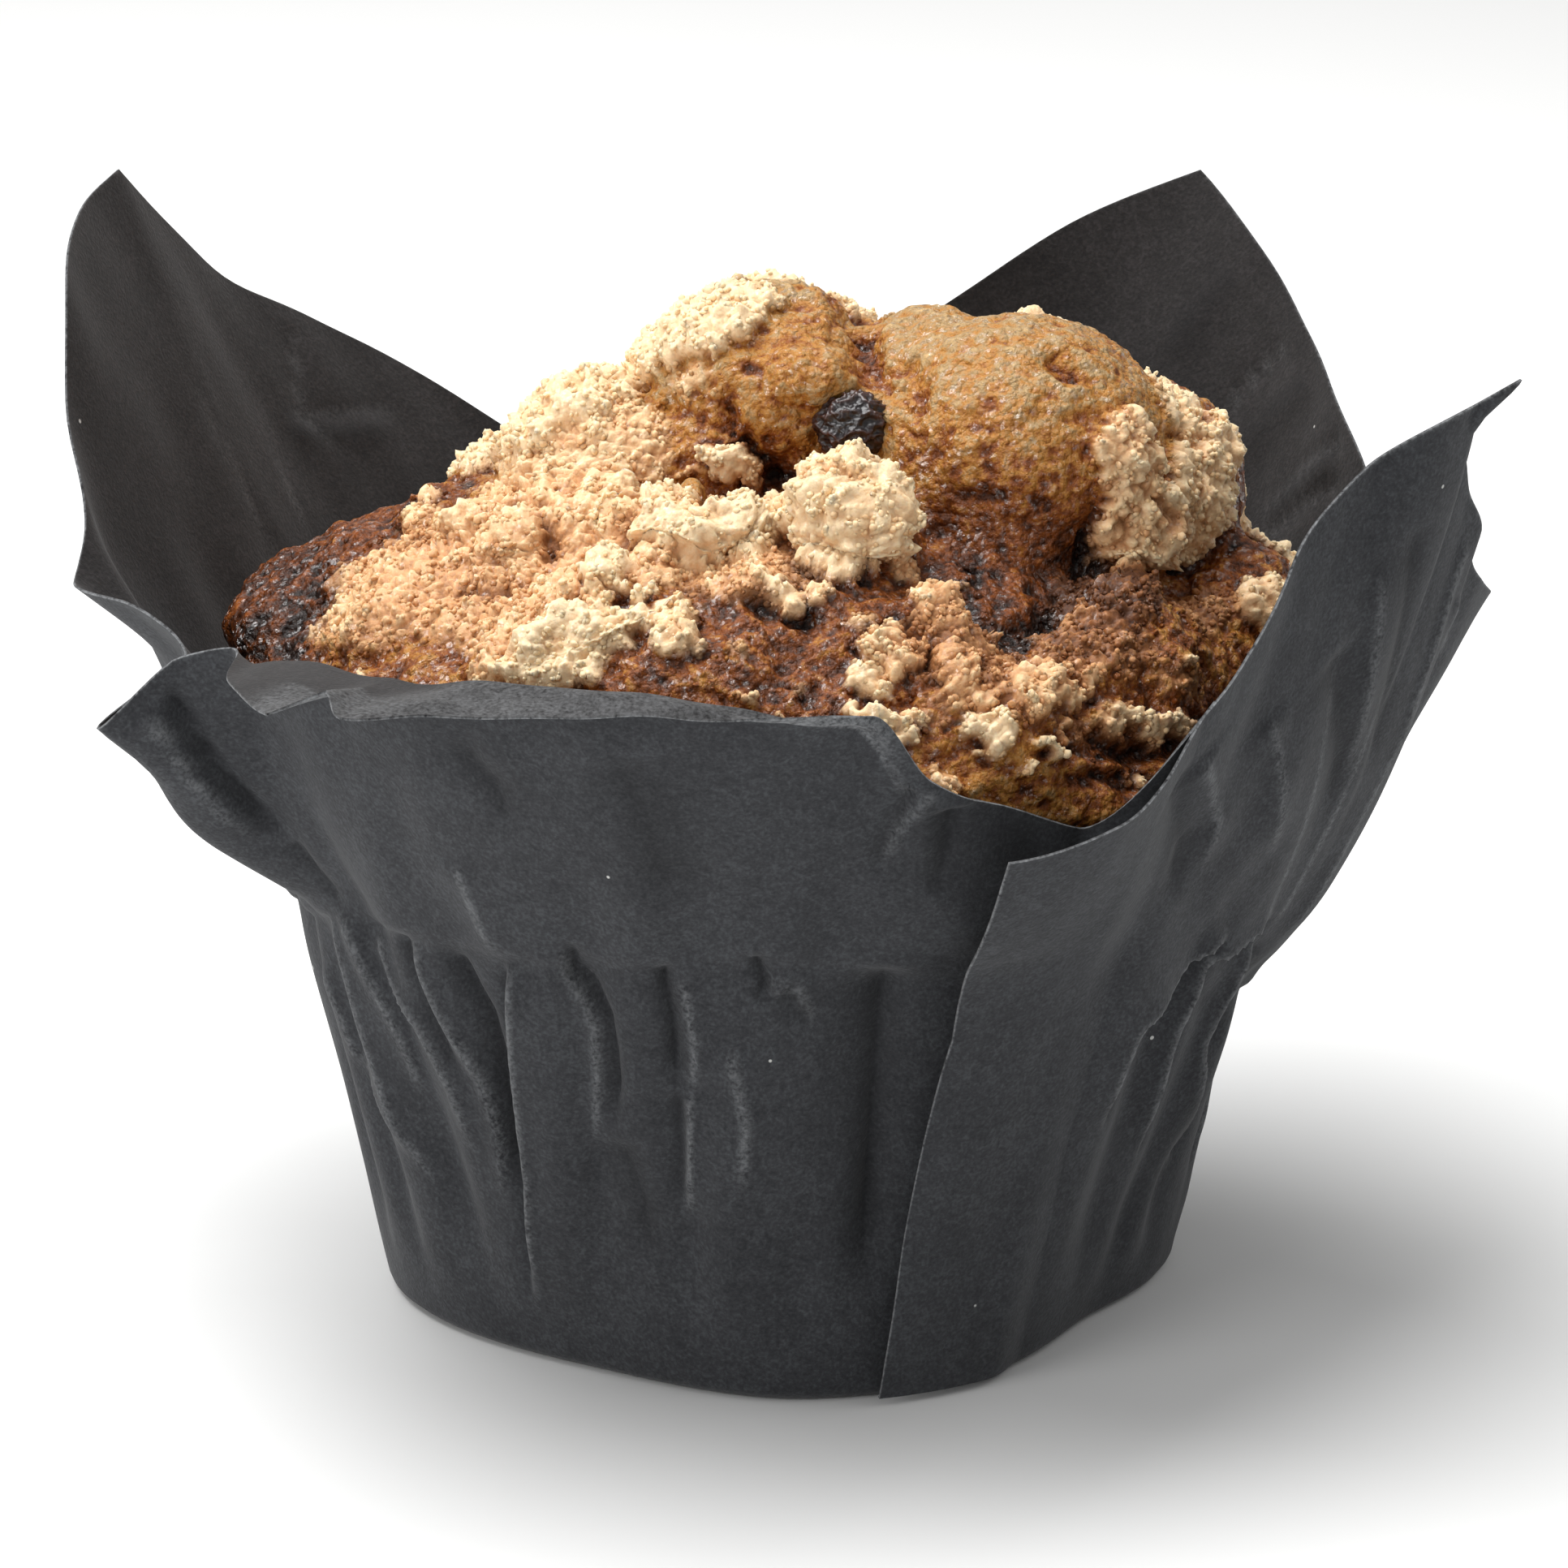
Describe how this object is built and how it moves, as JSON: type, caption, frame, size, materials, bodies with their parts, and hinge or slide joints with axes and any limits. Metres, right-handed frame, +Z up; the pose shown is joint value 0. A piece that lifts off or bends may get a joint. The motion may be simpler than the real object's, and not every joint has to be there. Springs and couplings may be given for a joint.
{
  "type": "muffin",
  "caption": "Large bakery muffin with a burst dome, crumble topping and a raisin, in a dark folded tulip paper case.",
  "frame": {"origin": "middle of the case's flat underside, which rests on the table", "axes": "+Z up, -Y towards the front with the folded-down petal, +X to the right as seen from that front"},
  "size_m": [0.1133, 0.1038, 0.083],
  "materials": {
    "paper": "matt greaseproof paper, charcoal black all through, with fine fibres, creases and pale flecks",
    "crust": "golden-brown baked crust, half gloss, with pale granular crumble that is toasted in places",
    "fruit": "wrinkled dark dried fruit skin with a soft sugar gloss"
  },
  "bodies": {
    "root": {"paper_case": "paper", "muffin": "crust", "raisin": "fruit"}
  },
  "joints": []
}
